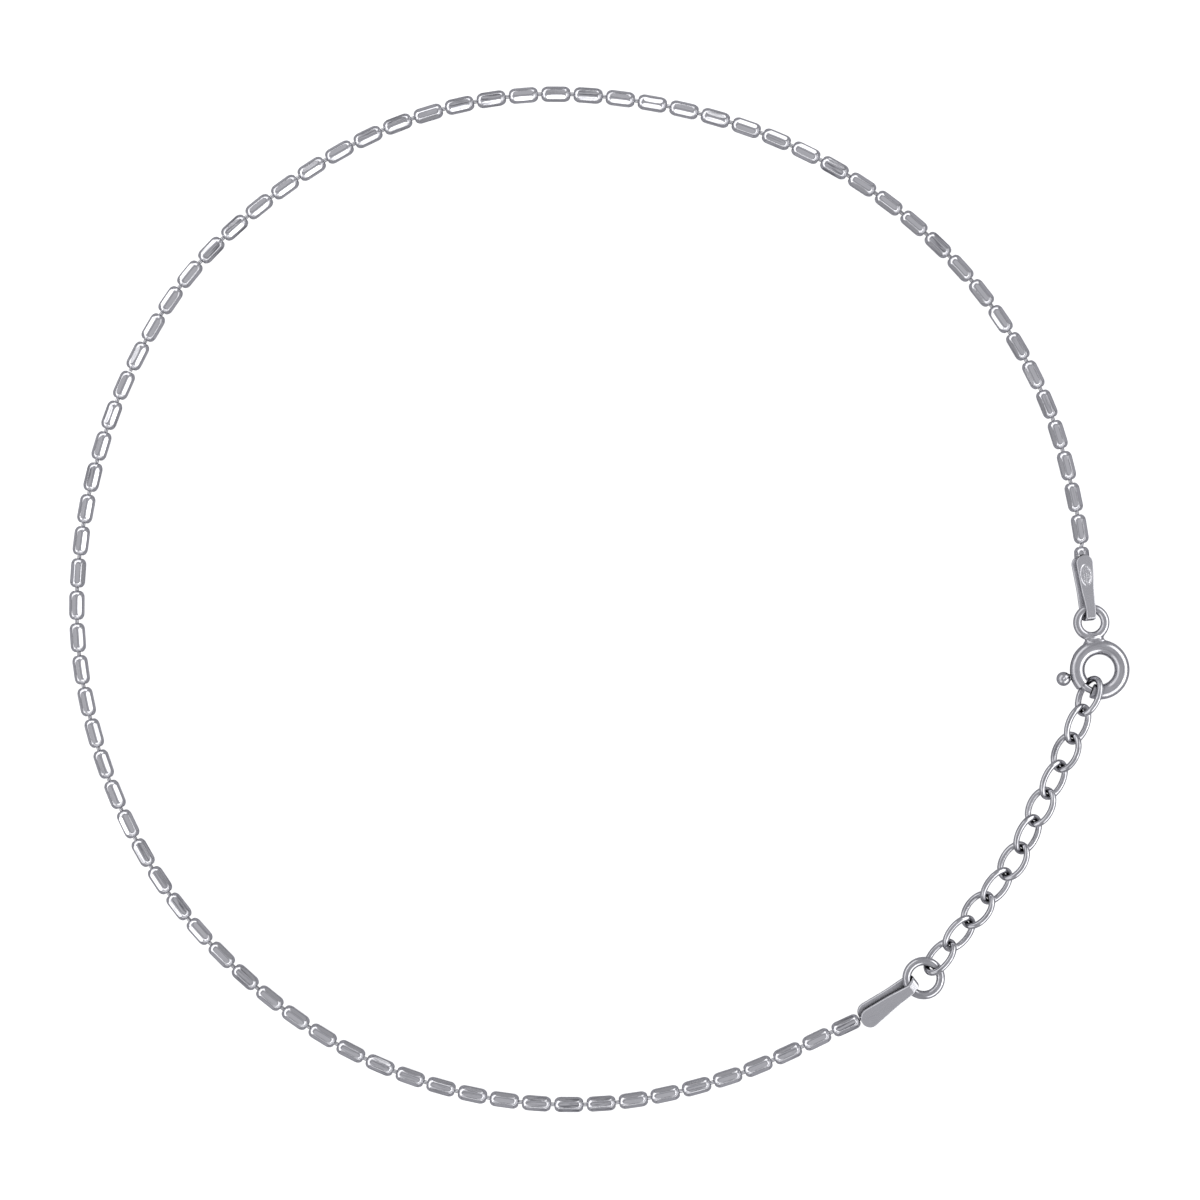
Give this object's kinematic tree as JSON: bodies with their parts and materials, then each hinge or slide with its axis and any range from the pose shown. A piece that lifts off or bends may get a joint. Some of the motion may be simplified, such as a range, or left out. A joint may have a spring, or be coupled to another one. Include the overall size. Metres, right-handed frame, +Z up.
{
  "type": "payal anklet",
  "caption": "Silver anklet of cut barrel beads in a whole loop, closed by a spring ring clasp, with an extender of oval links.",
  "frame": {"origin": "middle of the loop's box, on the surface that the beads rest on", "axes": "+Z up off the surface, +X towards the clasp side, +Y towards the top of the picture"},
  "size_m": [0.0848, 0.0822, 0.002],
  "materials": {
    "polished_silver": "polished, with bright cut facets",
    "satin_silver": "pressed sheet, lightly satin"
  },
  "bodies": {
    "anklet": {"bead_string_upper": "polished_silver", "bead_string_lower": "polished_silver", "end_tab_upper": "satin_silver", "end_tab_lower": "satin_silver", "clasp_ring": "polished_silver", "jump_ring": "polished_silver", "extender_link_01": "polished_silver", "extender_link_02": "polished_silver", "extender_link_03": "polished_silver", "extender_link_04": "polished_silver", "extender_link_05": "polished_silver", "extender_link_06": "polished_silver", "extender_link_07": "polished_silver", "extender_link_08": "polished_silver", "extender_link_09": "polished_silver", "extender_link_10": "polished_silver", "extender_link_11": "polished_silver"},
    "trigger": {"clasp_trigger": "polished_silver"}
  },
  "joints": [
    {"name": "trigger_slide", "type": "hinge", "parent": "anklet", "child": "trigger", "pos_m": [0.04003, -0.00562, 0.00091], "axis": [0, 0, -1], "range_deg": [0, 35], "stiffness_Nm_per_rad": 0.006, "springref_deg": -5.73}
  ]
}
